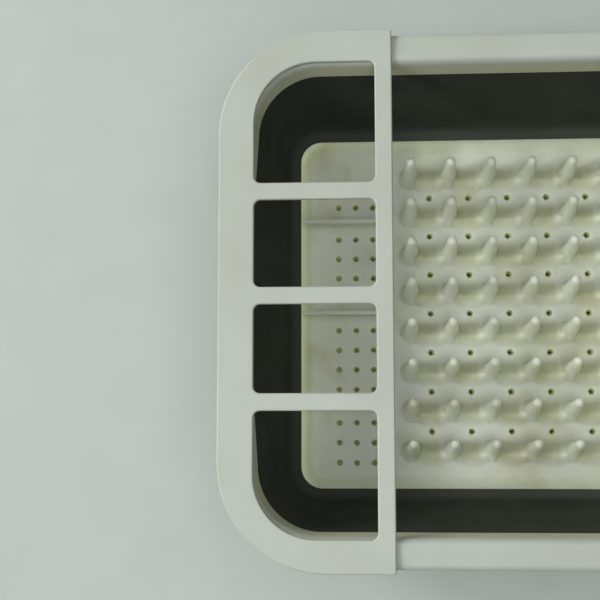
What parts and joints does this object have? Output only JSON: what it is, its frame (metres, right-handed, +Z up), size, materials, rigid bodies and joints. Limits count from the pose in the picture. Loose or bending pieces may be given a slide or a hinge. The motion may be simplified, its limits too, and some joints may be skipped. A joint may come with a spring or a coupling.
{
  "type": "collapsible dish drying rack",
  "caption": "Collapsible dish drying rack: a peg tray with drain holes, a folding elastomer wall, a stiff rim and a clip-on cutlery cap with windows.",
  "frame": {"origin": "bottom centre of the rack's box, on the surface that it stands on", "axes": "+X along the rack away from the cutlery cap, +Y across it, +Z up"},
  "size_m": [0.362, 0.3148, 0.1206],
  "materials": {
    "white_plastic": "satin moulded",
    "base_plastic": "satin moulded",
    "wall_elastomer": "matte charcoal",
    "foot_rubber": "matte charcoal"
  },
  "bodies": {
    "base": {"base_tray": "base_plastic", "peg_row_1": "base_plastic", "peg_row_2": "base_plastic", "peg_row_3": "base_plastic", "peg_row_4": "base_plastic", "peg_row_5": "base_plastic", "peg_row_6": "base_plastic", "peg_row_7": "base_plastic", "peg_row_8": "base_plastic", "foot_pad_front_left": "foot_rubber", "foot_pad_front_right": "foot_rubber", "foot_pad_rear_left": "foot_rubber", "foot_pad_rear_right": "foot_rubber", "wall_lower_band": "wall_elastomer", "wall_fold_web": "wall_elastomer"},
    "rim": {"rim": "white_plastic", "wall_upper_band": "wall_elastomer"},
    "cutlery_cap": {"cutlery_cap": "white_plastic"}
  },
  "joints": [
    {"name": "collapse", "type": "slide", "parent": "base", "child": "rim", "axis": [0, 0, 1], "range_m": [-0.075, 0], "deforming": ["wall_fold_web"]},
    {"name": "cap_lift", "type": "slide", "parent": "rim", "child": "cutlery_cap", "axis": [0, 0, 1], "range_m": [0, 0.06]}
  ]
}
